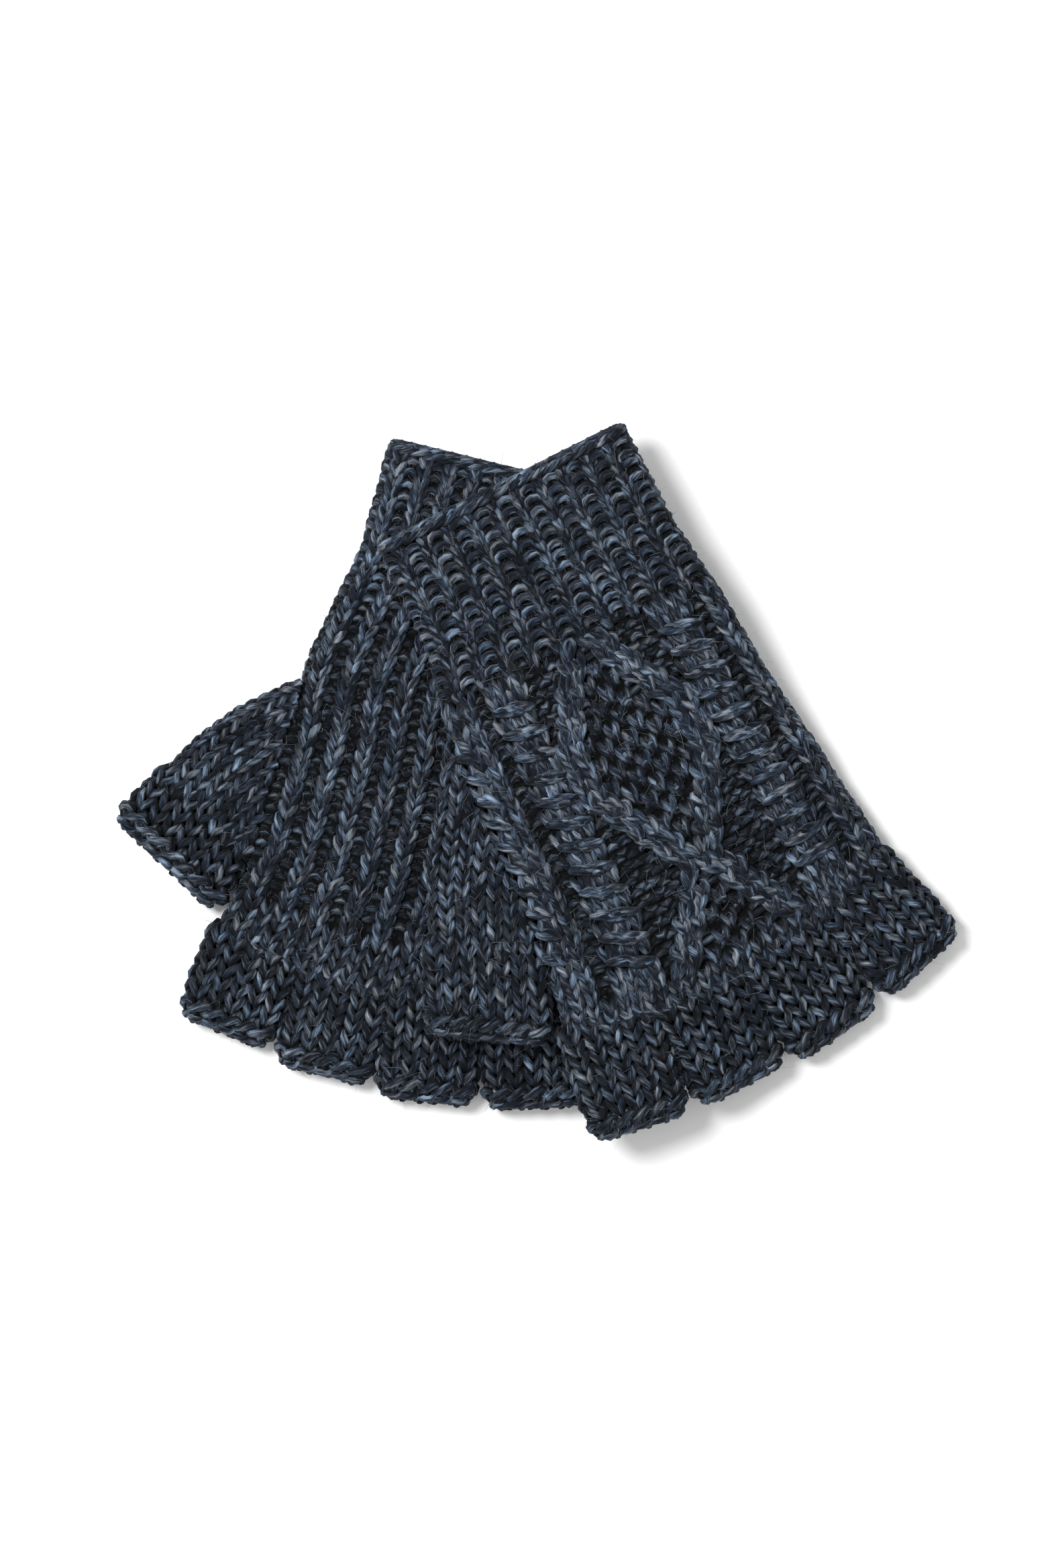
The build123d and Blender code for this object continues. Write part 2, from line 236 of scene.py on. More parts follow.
def spun(points, normals, width, up=0.0, keep=None, closed=False, sides=7):
    """A yarn's skin round each row of points: rings of an ellipse square to the path, flat along the normals.

    Returns corners, four-cornered faces, end faces, the yarn's own two places (along it and round it), and
    each corner's height above the knitting's middle layer in millimetres.
    """
    rows, length = points.shape[:2]
    ahead = np.roll(points, -1, 1) - np.roll(points, 1, 1)
    if not closed:
        ahead[:, 0], ahead[:, -1] = points[:, 1] - points[:, 0], points[:, -1] - points[:, -2]
    ahead /= np.linalg.norm(ahead, axis=2, keepdims=True) + 1e-12
    out = normals - (normals * ahead).sum(2, keepdims=True) * ahead
    out /= np.linalg.norm(out, axis=2, keepdims=True) + 1e-12
    side = np.cross(ahead, out)
    turn = np.arange(sides) / sides * 2 * np.pi
    width = np.broadcast_to(width, (rows, length))[..., None, None]
    ring = points[:, :, None] + width * (
        FLATTEN * np.cos(turn)[:, None] * out[:, :, None] + np.sin(turn)[:, None] * side[:, :, None]
    )
    corner = np.arange(rows * length * sides).reshape(rows, length, sides)
    near, far = (corner, np.roll(corner, -1, 1)) if closed else (corner[:, :-1], corner[:, 1:])
    faces = np.stack([near, np.roll(near, -1, 2), np.roll(far, -1, 2), far], -1)
    whole = np.ones((rows, length), bool) if keep is None else keep
    both = whole & np.roll(whole, -1, 1) if closed else whole[:, :-1] & whole[:, 1:]
    faces = faces[both].reshape(-1, 4)
    ends = []
    if not closed:
        first, last = whole.argmax(1), length - 1 - whole[:, ::-1].argmax(1)
        some = np.flatnonzero(whole.any(1) & (last > first))
        ends = np.concatenate([corner[some, first[some], ::-1], corner[some, last[some]]])
    onward = points[:, :1] if closed else points[:, -1:]
    step = np.linalg.norm(np.diff(points, axis=1, append=onward), axis=2)
    run = np.cumsum(step, 1) - step
    run = run + (np.arange(rows) * 0.37 + luck.random())[:, None]
    about = np.broadcast_to(turn / (2 * np.pi), ring.shape[:3])
    place = np.stack([np.repeat(run[..., None], sides, 2), about], -1)
    # Each corner's height, by which the wool's colour is darkened as painted shade.
    crown = np.broadcast_to(up, (rows, length))[..., None] + width[..., 0] * FLATTEN * np.cos(turn)
    return ring.reshape(-1, 3), faces, ends, place.reshape(-1, 2), crown.ravel() / MM


SHORTEST, LONGEST = 1.2 * MM, 4.8 * MM  # the least length of a stray fibre, and the most past that


def fuzz(points, normals, count):
    """Stray fibres: thin three-sided hairs from random places, each leaning out and curling over.

    A hair's middle line is start + along lean + along squared curl, its width falls off to its tip.
    """
    flat, out = points.reshape(-1, 3), normals.reshape(-1, 3)
    root = luck.integers(0, len(flat), count)
    lean = out[root] * luck.uniform(0.1, 0.6, (count, 1)) + luck.normal(0, 0.6, (count, 3))
    lean /= np.linalg.norm(lean, axis=1, keepdims=True)
    reach = LONGEST * luck.random((count, 1)) ** 2.2 + SHORTEST
    curl = luck.normal(0, 0.45, (count, 3)) - 0.25 * out[root]
    along = np.linspace(0, 1, 5)[None, :, None]
    line = (flat[root] + out[root] * YARN * 0.7)[:, None] + reach[:, None] * (
        lean[:, None] * along + curl[:, None] * along**2
    )
    width = luck.uniform(0.035, 0.065, (count, 1)) * MM * (1 - 0.7 * along[..., 0])
    return spun(line, np.broadcast_to(out[root][:, None], line.shape), width, sides=3)


def knitted(name, strands, hairs, material, fibres):
    """One mesh of all a piece's yarn and stray fibres, with the yarn's own places as its UV map.

    The yarn flattens where it lies on the table.
    """
    parts = [(strand, 0) for strand in strands] + [(strand, 1) for strand in hairs]
    corners, polygons, uv, crowns, kinds, first = [], [], [], [], [], 0
    for (ring, faces, ends, place, crown), kind in parts:
        corners.append(ring)
        uv.append(place)
        crowns.append(crown)
        for group in (faces, ends):
            if len(group):
                polygons.append(np.asarray(group) + first)
                kinds.append(np.full(len(group), kind))
        first += len(ring)
    corners, uv = np.concatenate(corners), np.concatenate(uv)
    flat = np.concatenate([group.ravel() for group in polygons])
    used = np.zeros(len(corners), bool)
    used[flat] = True
    renumber = np.cumsum(used) - 1
    corners, uv, crowns, flat = corners[used], uv[used], np.concatenate(crowns)[used], renumber[flat]
    corners[:, 2] = np.maximum(corners[:, 2], 0.02 * MM)
    sizes = np.concatenate([np.full(len(group), group.shape[1]) for group in polygons])
    starts = np.cumsum(sizes) - sizes
    mesh = bpy.data.meshes.new(name)
    mesh.vertices.add(len(corners))
    mesh.vertices.foreach_set("co", corners.ravel())
    mesh.loops.add(len(flat))
    mesh.loops.foreach_set("vertex_index", flat.astype(np.int32))
    mesh.polygons.add(len(sizes))
    mesh.polygons.foreach_set("loop_start", starts.astype(np.int32))
    mesh.polygons.foreach_set("use_smooth", np.ones(len(sizes), bool))
    mesh.polygons.foreach_set("material_index", np.concatenate(kinds).astype(np.int32))
    mesh.update(calc_edges=True)
    layer = mesh.uv_layers.new(name="yarn")
    places = uv[flat].copy()
    past_seam = np.repeat(np.maximum.reduceat(places[:, 1], starts) > 0.6, sizes) & (places[:, 1] < 0.3)
    places[:, 1] += past_seam & np.repeat(sizes == 4, sizes)
    layer.data.foreach_set("uv", places.ravel())
    # That height goes on as an attribute, which the wool's painted shade is read from.
    mesh.attributes.new("crown", "FLOAT", "POINT").data.foreach_set("value", crowns.astype(np.float32))
    mesh.materials.append(material)
    mesh.materials.append(fibres)
    piece = bpy.data.objects.new(name, mesh)
    bpy.context.scene.collection.objects.link(piece)
    return piece


def new_node(tree, kind, **values):
    """A new shader node with its settings."""
    node = tree.nodes.new(kind)
    for key, value in values.items():
        setattr(node, key, value)
    return node


def marl_group():
    """Colour and height of a marled yarn, from the yarn's own places along and round it, and its height.

    The round place becomes a circle that turns with the twist, so noise drawn out along the yarn reads as
    fibres; a slower noise along the yarn makes some lengths darker and some lighter. Then the colour is
    darkened by the yarn's height as painted shade: low in the knitting and at each yarn's sides it falls off.
    """
    tree = bpy.data.node_groups.new("marled yarn", "ShaderNodeTree")
    for socket, default in (("Twist", 90.0), ("Light share", 0.5)):
        made = tree.interface.new_socket(socket, in_out="INPUT", socket_type="NodeSocketFloat")
        made.default_value = default
    tree.interface.new_socket("Colour", in_out="OUTPUT", socket_type="NodeSocketColor")
    tree.interface.new_socket("Height", in_out="OUTPUT", socket_type="NodeSocketFloat")
    given, made = tree.nodes.new("NodeGroupInput"), tree.nodes.new("NodeGroupOutput")
    link = tree.links.new

    def number(operation, a, b=None):
        """A sum, product or the like of one or two values, each a number or a socket."""
        node = new_node(tree, "ShaderNodeMath", operation=operation)
        for slot, value in ((0, a), (1, b)):
            if isinstance(value, (int, float)):
                node.inputs[slot].default_value = value
            elif value is not None:
                link(value, node.inputs[slot])
        return node.outputs[0]

    where = new_node(tree, "ShaderNodeUVMap", uv_map="yarn")
    split = tree.nodes.new("ShaderNodeSeparateXYZ")
    link(where.outputs[0], split.inputs[0])
    run, about = split.outputs[0], split.outputs[1]
    turned = number("ADD", about, number("MULTIPLY", run, given.outputs["Twist"]))
    angle = number("MULTIPLY", turned, 2 * np.pi)

    def fibre_noise(stretch, round_size, detail, offset):
        """Noise on a cylinder: the circle's two places at round_size and the place along at stretch."""
        spot = tree.nodes.new("ShaderNodeCombineXYZ")
        link(number("MULTIPLY", number("COSINE", angle), round_size), spot.inputs[0])
        link(number("MULTIPLY", number("SINE", angle), round_size), spot.inputs[1])
        link(number("ADD", number("MULTIPLY", run, stretch), offset), spot.inputs[2])
        noise = new_node(tree, "ShaderNodeTexNoise", noise_dimensions="3D")
        noise.inputs["Scale"].default_value = 1.0
        noise.inputs["Detail"].default_value = detail
        noise.inputs["Roughness"].default_value = 0.6
        link(spot.outputs[0], noise.inputs["Vector"])
        return noise.outputs["Fac"]

    strand = fibre_noise(190, 0.8, 1.0, 0.0)
    fine = fibre_noise(380, 5.0, 2.0, 7.0)
    patch = fibre_noise(60, 0.3, 1.0, 3.0)
    tone = given.outputs["Light share"]
    for fibres, weight in ((strand, 1.0), (fine, 0.8), (patch, 0.5)):
        tone = number("ADD", number("MULTIPLY", number("SUBTRACT", fibres, 0.5), weight), tone)
    # Painted shade: the yarn's height in millimetres sets a factor, 0 low down and at its sides, 1.12 on top.
    height = new_node(tree, "ShaderNodeAttribute", attribute_name="crown")
    shade_by_height = new_node(tree, "ShaderNodeMapRange", interpolation_type="SMOOTHSTEP")
    for slot, value in (("From Min", 0.42), ("From Max", 1.95), ("To Min", 0.0), ("To Max", 1.12)):
        shade_by_height.inputs[slot].default_value = value
    link(height.outputs["Fac"], shade_by_height.inputs["Value"])

    def colours(stops):
        """A ramp through colours at places from 0 to 1."""
        ramp = tree.nodes.new("ShaderNodeValToRGB")
        while len(ramp.color_ramp.elements) < len(stops):
            ramp.color_ramp.elements.new(0.5)
        for element, (place, colour) in zip(ramp.color_ramp.elements, stops):
            element.position, element.color = place, (*colour, 1)
        return ramp

    ramp = colours((
        (0.28, (0.0016, 0.0023, 0.0040)),
        (0.43, (0.0066, 0.0090, 0.0146)),
        (0.57, (0.0270, 0.0350, 0.0495)),
        (0.70, (0.0960, 0.1190, 0.1530)),
        (0.92, (0.2450, 0.2920, 0.3550)),
    ))
    link(tone, ramp.inputs[0])
    cast = colours(((0.35, (1.0, 0.93, 0.86)), (0.65, (0.86, 0.98, 1.08))))
    link(fibre_noise(110, 0.4, 0.0, 11.0), cast.inputs[0])
    # The marl's colour times its tint, times the painted shade.
    tinted = new_node(tree, "ShaderNodeMix", data_type="RGBA", blend_type="MULTIPLY")
    painted_shade = new_node(tree, "ShaderNodeMix", data_type="RGBA", blend_type="MULTIPLY")
    tinted.inputs["Factor"].default_value = painted_shade.inputs["Factor"].default_value = 1.0
    link(ramp.outputs[0], tinted.inputs["A"])
    link(cast.outputs[0], tinted.inputs["B"])
    link(tinted.outputs["Result"], painted_shade.inputs["A"])
    link(shade_by_height.outputs["Result"], painted_shade.inputs["B"])
    link(painted_shade.outputs["Result"], made.inputs["Colour"])
    link(number("ADD", number("MULTIPLY", strand, 0.7), number("MULTIPLY", fine, 0.5)), made.inputs["Height"])
    return tree


marl = marl_group()
TWIST, RELIEF = 34.0, 0.35  # the yarn's turns in a metre, and how strong its fibres' relief is


def wool(name, light):
    """A marled wool: a rough, soft surface with fibres in its colour and its relief, and a little sheen."""
    material = bpy.data.materials.new(name)
    material.use_nodes = True
    tree = material.node_tree
    shader = tree.nodes["Principled BSDF"]
    shader.inputs["Roughness"].default_value = 0.85
    shader.inputs["Specular IOR Level"].default_value = 0.12
    shader.inputs["Sheen Weight"].default_value = 0.07
    shader.inputs["Sheen Roughness"].default_value = 0.5
    shader.inputs["Sheen Tint"].default_value = (0.6, 0.7, 0.85, 1)
    yarn = new_node(tree, "ShaderNodeGroup", node_tree=marl)
    yarn.inputs["Twist"].default_value = TWIST
    yarn.inputs["Light share"].default_value = light
    relief = tree.nodes.new("ShaderNodeBump")
    relief.inputs["Strength"].default_value = RELIEF
    relief.inputs["Distance"].default_value = 0.5 * MM
    tree.links.new(yarn.outputs["Colour"], shader.inputs["Base Color"])
    tree.links.new(yarn.outputs["Height"], relief.inputs["Height"])
    tree.links.new(relief.outputs[0], shader.inputs["Normal"])
    return material


def stray_wool():
    """Loose fibres, one plain colour between the marl's dark and its light."""
    material = bpy.data.materials.new("stray wool fibres")
    material.use_nodes = True
    shader = material.node_tree.nodes["Principled BSDF"]
    shader.inputs["Base Color"].default_value = (0.12, 0.145, 0.19, 1)
    shader.inputs["Roughness"].default_value = 0.8
    shader.inputs["Sheen Weight"].default_value = 0.3
    return material


stray = stray_wool()
rib_wool = wool("marled wool of the rib", 0.52)
SIDE_TURN = THICK / 2 - DEPTH - YARN  # radius of the middle layer where a flat tube turns over
HAIRS = 2.6  # stray fibres to a stitch
TAPER, NARROW = 8 * MM, 0.1  # length over which a tube's spread falls off to its end, and the share left
ROOT = 9 * MM  # length over which it is thicker at its root


def knit_tube(
    hand, lie, outline, start, end, face, widths, lift, head_up=0.0, thick=THICK, first=0.0, wider=0.0,
    root_thicker=0.0,
):
    """Yarn knitted round a flat tube: its rows run round the section, one after the other along the lie.

    A stitch's column, by the columns' widths, is a share of the way round, and its row and its own rise are
    the place along. The tube is wider than its outline on each side, less towards the end, and thicker near
    the root.
    """
    rows, stitches = face.shape
    none = np.zeros_like(face)
    across, along, up, width = loops(face, none, lift, none, head_up)
    column = (across + first) % stitches
    y = start + (end - start) * (np.arange(rows)[:, None] + 0.5) / rows + along
    low, high = outline(np.clip(y, start, end))
    wider = wider * np.clip((end - y) / TAPER + NARROW, 0, 1)
    low, high = low + RIM - wider, high - RIM + wider
    thick = thick + root_thicker * np.clip(1 - y / ROOT, 0, 1)
    turn = thick / 2 - DEPTH - YARN
    total = np.pi * turn + high - low - 2 * turn
    edges = np.concatenate([[0], np.cumsum(widths)]) / np.sum(widths)
    s = np.interp(column, np.arange(stitches + 1), edges) * 2 * total
    x, height, nx, nz, _ = round_section(s, low, high, turn, turn, turn)
    points = laid(hand, lie, x + nx * up, y, height + nz * up, thick)
    normals = nx[..., None] * np.append(lie.across, 0) + nz[..., None] * np.array([0, 0, 1.0])
    return points, normals, width, up


CUFF_ROWS, CUFF_STITCHES = 14, 44
KNIT = np.where(np.arange(CUFF_STITCHES) % 2 == 0, 1.0, -1.0)
COLUMNS = {"right": (0.95, 0.3 * MM), "left": (0.7, -0.25 * MM)}  # width and height of the knit columns
PURL_HEAD = 0.45 * MM  # how far a purl loop's head stands out past its feet
CUFF_START, CUFF_PAST = 2.5 * MM, 0.5 * MM  # its rows start inside the cast-on edge and end past the fold
CREASE = 3 * MM, -9 * MM  # two places from the cuff's fold, at which points are worked out and not used

for hand in ("right", "left"):
    lie, fold = lies[hand], cuff_end[hand]
    outline = Outline(lie, [f"{hand}_cuff_rib"], 4 * MM, fold - 1 * MM)
    face = np.repeat(KNIT[None], CUFF_ROWS, 0)
    broad, high = COLUMNS[hand]
    widths = np.where(KNIT > 0, broad, 2 - broad)
    lift = np.where(face > 0, high, -0.8 * high)
    points, normals, width, up = knit_tube(
        hand, lie, outline, CUFF_START, fold + CUFF_PAST, face, widths, lift, head_up=PURL_HEAD
    )
    yarn = spun(points, normals, width, up, closed=True)
    hairs = fuzz(points, normals, int(face.size * HAIRS))
    cuff = knitted(f"{hand}_cuff_yarn", [yarn], [hairs], rib_wool, stray)
    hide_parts(f"{hand}_cuff_rib")
    hand_side, cuff_side = ((*lie.outward(np.array(0.0), np.array(fold + at)), 0) for at in CREASE)
    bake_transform(cuff)
    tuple(hand_side)
    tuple(cuff_side)

# ------------------------------------------------------------------------------------------ hand panels
# The palm and the back of each hand, knitted on from the cuff in the same wool and joined at the sides. The
# palm goes on in one-by-one rib. The back has a rope cable up each side, and between them a diamond of
# travelling stitches filled with seed stitch. Both end in a few plain rows at the finger roots.

FINGERS = ("index", "middle", "ring", "little")
HAND_ROWS = 29
cable_wool = wool("marled wool of the cables", 0.53)


def stall_lie(hand, name):
    """A stall's own axes, from its fold: across its root towards the thumb, and along it to its end."""
    fold = joints[f"{hand}_{name}_fold"]
    return Lie(fold["pos_m"], fold["axis"])


def stall_outline(hand, name):
    """A stall's axes, its two sides along its length, and that length."""
    lie = stall_lie(hand, name)
    corners, _ = solid(f"{hand}_{name}_bind_off")
    length = lie.inward(corners[:, :2])[1].max()
    nodes = [f"{hand}_{name}_stall", f"{hand}_{name}_bind_off"]
    return lie, Outline(lie, nodes, 0.6 * MM, length - 0.2 * MM), length


class Hand:
    """Where a glove's rows lie between the cuff and the finger roots, and how wide each is.

    apex and crotch are the places along where the thumb's gusset starts and ends.
    """

    def __init__(self, hand):
        self.lie, self.start = lies[hand], cuff_end[hand]
        ends = []
        for name in FINGERS:
            lie, outline, _ = stall_outline(hand, name)
            low, high = outline(np.array([0.6 * MM]))
            ends += [lie.outward(x, np.zeros(1))[0] for x in (high, low)]
        across, along = self.lie.inward(np.array(ends))
        order = np.argsort(across)
        self.root_x, self.root_y = across[order], along[order]
        corners, _ = solid(f"{hand}_palm_panel")
        top = self.lie.inward(corners[:, :2])[1].max()
        self.sides = Outline(self.lie, [f"{hand}_palm_panel"], self.start + 0.1 * MM, top - 0.5 * MM)
        corners, _ = solid(f"{hand}_thumb_gusset")
        across, along = self.lie.inward(corners[:, :2])
        self.apex = along.min()
        self.crotch = along[across < across[along.argmin()] + 7 * MM].max()

    def row(self, x, v):
        """Place along of the row that is a share v of the way up the hand, at a place across."""
        return self.start + (np.interp(x, self.root_x, self.root_y) - self.start) * v

    def ends(self, v):
        """The two sides of that row, and how tightly its thumb side turns over: flat along the gusset."""
        y_low = self.start + (self.root_y[0] - self.start) * v
        y_high = self.start + (self.root_y[-1] - self.start) * v
        low, high = self.sides(y_low)[0], self.sides(y_high)[1]
        fade, under = 7 * MM, 4.5 * MM  # the side flattens over one length, and reaches under the gusset
        free = np.clip((self.apex + under + fade - y_high) / fade, 0, 1)
        free = free + np.clip((y_high - self.crotch + under) / fade, 0, 1)
        return low, high, SIDE_TURN * np.clip(free, 0, 1)


hands = {hand: Hand(hand) for hand in ("right", "left")}


def knit_panel(hand, side, face, widths, tilt, lift, low_rise):
    """Yarn of one panel: rows from the little finger's side to the thumb's, facing up or down by side.

    A stitch's column is an arc length across the flat tube's half section, and its row and its own rise are a
    share of the way from the cuff to the finger roots.
    """
    shape, reach = hands[hand], hands[hand].root_y.mean() - hands[hand].start
    rows, stitches = face.shape
    across, along, up, width = loops(face, tilt, lift, low_rise)
    v = (np.arange(rows)[:, None] + 0.5) / rows + along / reach
    low, high, turn_high = shape.ends(v)
    inset = RIM * turn_high / SIDE_TURN
    total = np.pi / 2 * (SIDE_TURN + turn_high) + high - inset - low - RIM - SIDE_TURN - turn_high
    edges = np.concatenate([[0], np.cumsum(widths)]) / np.sum(widths)
    s = np.interp(across, np.arange(stitches + 1), edges) * total
    s = s + (across - np.clip(across, 0, stitches)) * total / stitches
    x, height, nx, nz, _ = round_section(s, low + RIM, high - inset, SIDE_TURN, turn_high, SIDE_TURN)
    x = x + nx * up
    points = laid(hand, shape.lie, x, shape.row(x, v), side * (height + nz * up))
    normals = nx[..., None] * np.append(shape.lie.across, 0) + side * nz[..., None] * np.array([0, 0, 1.0])
    return points, normals, width, up


PALM_STITCHES, PALM_PLAIN = 22, 4  # the palm's columns, and its plain rows at the finger roots
KNIT_WIDE, PURL_WIDE, KNIT_LIFT, PURL_LIFT = 1.12, 0.88, 0.4 * MM, -0.5 * MM


def rib_chart():
    """The palm: knit and purl columns in turn, knit ones broad and raised, then plain rows at the top."""
    face = np.repeat(np.where(np.arange(PALM_STITCHES) % 2 == 0, 1.0, -1.0)[None], HAND_ROWS, 0)
    widths = np.where(face[0] > 0, KNIT_WIDE, PURL_WIDE)
    lift = np.where(face > 0, KNIT_LIFT, PURL_LIFT)
    face[-PALM_PLAIN:], lift[-PALM_PLAIN:] = 1, 0
    return face, widths, np.zeros_like(face), lift, np.zeros_like(face)


ROPES, PLAIN, MIDDLE, SLANTED = (3, 18), (0, 1, 23, 24, 25), 12, 25  # the back's columns
UNDER, OVER = (2, -1.3 * MM, 0), (-2.5, 1.5 * MM, 0.5)  # a crossed stitch's tilt, height and squatness


def cable_chart():
    """The back. Columns from the little finger: 2 knit, 1 purl, 4 rope, 11 diamond, 4 rope, 1 purl, 3 knit.

    A rope's two stitches on the thumb's side cross over its two others every second row. The diamond's
    two-stitch bands step outwards a stitch every second row, hold, step inwards, and meet and part again.
    """
    rows, columns, middle = HAND_ROWS, 26, MIDDLE
    face, tilt = -np.ones((rows, columns)), np.zeros((rows, columns))
    lift, low_rise = np.full((rows, columns), -0.45 * MM), np.zeros((rows, columns))
    face[:, PLAIN], lift[:, PLAIN] = 1, 0.1 * MM
    widths = np.ones(columns)
    crossing = np.arange(2, rows - 4, 2)
    for rope in ROPES:
        widths[rope : rope + 4] = 0.8
        face[:, rope : rope + 4], lift[:, rope : rope + 4] = 1, 0.2 * MM
        for stitch, (step, rise, squat) in enumerate((UNDER, UNDER, OVER, OVER)):
            tilt[crossing, rope + stitch] = step
            lift[crossing, rope + stitch] = rise
            low_rise[crossing, rope + stitch] = squat
    row = np.arange(rows + 1)
    out = np.select([row <= 11, row <= 19], [(row + 1) // 2, 4 - (row - 11) // 2], (row - 19) // 2).clip(0, 4)
    for c in range(rows):
        here, after = out[c], out[c + 1]
        inside = np.arange(middle - here, middle + here + 1)
        face[c, inside] = np.where((inside + c) % 2 == 0, 1, -1)
        lift[c, inside] = -0.05 * MM
        for way in (1, -1):
            band = middle + way * np.array([here, here + 1])
            face[c, band], tilt[c, band], lift[c, band] = 1, way * (after - here), 0.8 * MM
            passed = middle + way * (here + 2 if after > here else here - 1)
            if after != here and 6 < passed < 18:
                tilt[c, passed], lift[c, passed] = -2 * way * (after - here), -0.7 * MM
    beside = np.arange(4, rows - 6, 2)
    tilt[beside, SLANTED], lift[beside, SLANTED], low_rise[beside, SLANTED] = -1.1, 0.9 * MM, 0.2
    face[-2:], tilt[-2:], lift[-2:], low_rise[-2:] = 1, 0, 0, 0
    return face, widths, tilt, lift, low_rise


PANELS = (
    ("palm", rib_chart(), "ribbed_wool", rib_wool),
    ("back", cable_chart(), "cabled_wool", cable_wool),
)
UPWARDS = {"right": "palm", "left": "back"}

for hand in ("right", "left"):
    for panel, chart, finish, material in PANELS:
        side = 1 if panel == UPWARDS[hand] else -1
        points, normals, width, up = knit_panel(hand, side, *chart)
        yarn = spun(points, normals, width, up)
        hairs = fuzz(points, normals, int(chart[0].size * HAIRS))
        piece = knitted(f"{hand}_{panel}_yarn", [yarn], [hairs], material, stray)
        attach(piece, f"{hand}_hand")
        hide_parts(f"{hand}_{panel}_panel")

# ---------------------------------------------------------------------------------------- thumb gussets
# The wedge of plain knitting that widens from the side of the hand to the thumb's root, in the same wool and
# picked up from the palm's and the back's side stitches. Its columns follow its outer edge, and a row is as
# long as the wedge is wide there, round the edge to the other face.

plain_wool = wool("marled wool of the plain knitting", 0.5)
STITCH, ROW = 4.7 * MM, 3.9 * MM


def gusset_rows(hand):
    """Points of the gusset's outer edge and of its seam at the hand, at equal shares of their lengths."""
    shape, lie = hands[hand], lies[hand]
    node = f"{hand}_thumb_gusset"
    root, outline, _ = stall_outline(hand, "thumb")
    outer_end = lie.inward(root.outward(outline(np.array([0.6 * MM]))[1], np.zeros(1))[0])
    y = np.linspace(shape.apex + 0.2 * MM, outer_end[1], 80)
    outer = np.stack([span(lie, [node], y)[1], y], -1)
    y = np.linspace(shape.apex + 0.2 * MM, shape.crotch, 80)
    inner = np.stack([shape.sides(y)[1], y], -1)

    def even(line):
        """A line's points as a function of the share of its length, and that length."""
        run = np.concatenate([[0], np.cumsum(np.linalg.norm(np.diff(line, axis=0), axis=1))])

        def at(share):
            return np.stack([np.interp(share, run / run[-1], line[:, i]) for i in (0, 1)], -1)

        return at, run[-1]

    return even(outer), even(inner)


def knit_gusset(hand):
    """Yarn of a gusset: row by row from seam to seam, clipped where the wedge ends.

    A column lies a number of stitches from the outer edge: first round the edge's quarter circle, then flat
    towards the seam, on the upper face or the lower one by its sign.
    """
    (outer, reach), (inner, _) = gusset_rows(hand)
    rows, half = int(round(reach / ROW)), 9
    face = np.ones((rows, 2 * half))
    across, along, up, width = loops(face, face * 0, face * 0, face * 0)
    v = np.clip((np.arange(rows)[:, None] + 0.5) / rows + along / reach, 0, 1.02)
    edge, seam = outer(np.clip(v, 0, 1)), inner(np.clip(v, 0, 1))
    way = edge - seam
    wide = np.linalg.norm(way, axis=-1)
    way = way / np.maximum(wide, 1e-6)[..., None]
    ahead = np.stack([-way[..., 1], way[..., 0]], -1)
    turn = np.minimum(SIDE_TURN, np.maximum(wide - RIM, 0.1 * MM))
    quarter = np.pi / 2 * turn
    s = (across - half) * STITCH
    from_edge = np.abs(s)
    bend = np.clip(from_edge / np.maximum(turn, 1e-6), 0, np.pi / 2)
    flat = np.maximum(from_edge - quarter, 0)
    back_from_edge = RIM + turn * (1 - np.cos(bend)) + flat
    height = (SIDE_TURN - turn * (1 - np.sin(bend))) * np.sign(s)
    nx, nz = np.cos(bend), np.sin(bend) * np.sign(s)
    keep = (back_from_edge < wide + 0.6 * MM) & (wide > 1.2 * RIM)
    beyond = np.maximum(v - 1, 0)[..., None] * reach
    spot = edge - way * (back_from_edge - nx * up)[..., None] + ahead * beyond
    points = laid(hand, lies[hand], spot[..., 0], spot[..., 1], height + nz * up)
    out_xy = way[..., :1] * lies[hand].across + way[..., 1:] * lies[hand].along
    normals = np.concatenate([nx[..., None] * out_xy, nz[..., None]], -1)
    return points, normals, width, up, keep


for hand in ("right", "left"):
    points, normals, width, up, keep = knit_gusset(hand)
    yarn = spun(points, normals, width, up, keep)
    hairs = fuzz(points[keep], normals[keep], int(keep.sum() / STEPS * HAIRS))
    piece = knitted(f"{hand}_gusset_yarn", [yarn], [hairs], plain_wool, stray)
    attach(piece, f"{hand}_hand")
    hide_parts(f"{hand}_thumb_gusset")

# ---------------------------------------------------------------------------------- thumb and finger stalls
# Short tubes of plain knitting, picked up round the thumb's and each finger's root in the same wool, and open
# at the end. The last row is bound off: each loop is drawn over the next, which leaves a thick slanting chain
# round the mouth and a ridge behind it.

edge_wool = wool("marled wool of the edges", 0.5)
BAND = 5.5 * MM  # height of a bound-off edge
WIDER = 1.9 * MM  # how far a stall spreads past its solid on each side, as it is soft
GIVE = {"right_thumb": 1.5 * MM, "right_index": -0.4 * MM, "right_middle": -1.1 * MM}  # pulled long or short
STALL_STITCH, STALL_ROW, TUCK = 5.0 * MM, 4.0 * MM, 1.8 * MM  # a stall starts a little way inside the hand
DRAPED_STALL = 11.5 * MM  # thickness of the upper glove's stalls, whose solids slope with the drape
CHAIN_BACK, CHAIN_LEAN = 3.6 * MM, 0.6  # how far the chain sits back from the end, and leans out past it
CHAIN_WIDE, CHAIN_YARN = 7.8 * MM, 1.32 * MM
CHAIN_SLANT, CHAIN_REACH = -0.18, -0.70  # how its strokes slant, and how far a loop reaches over the next
RIDGE_IN, RIDGE_AT = 1.1 * MM, (-0.6 * MM, 1.2 * MM)  # the two ridges' places inside the chain and along


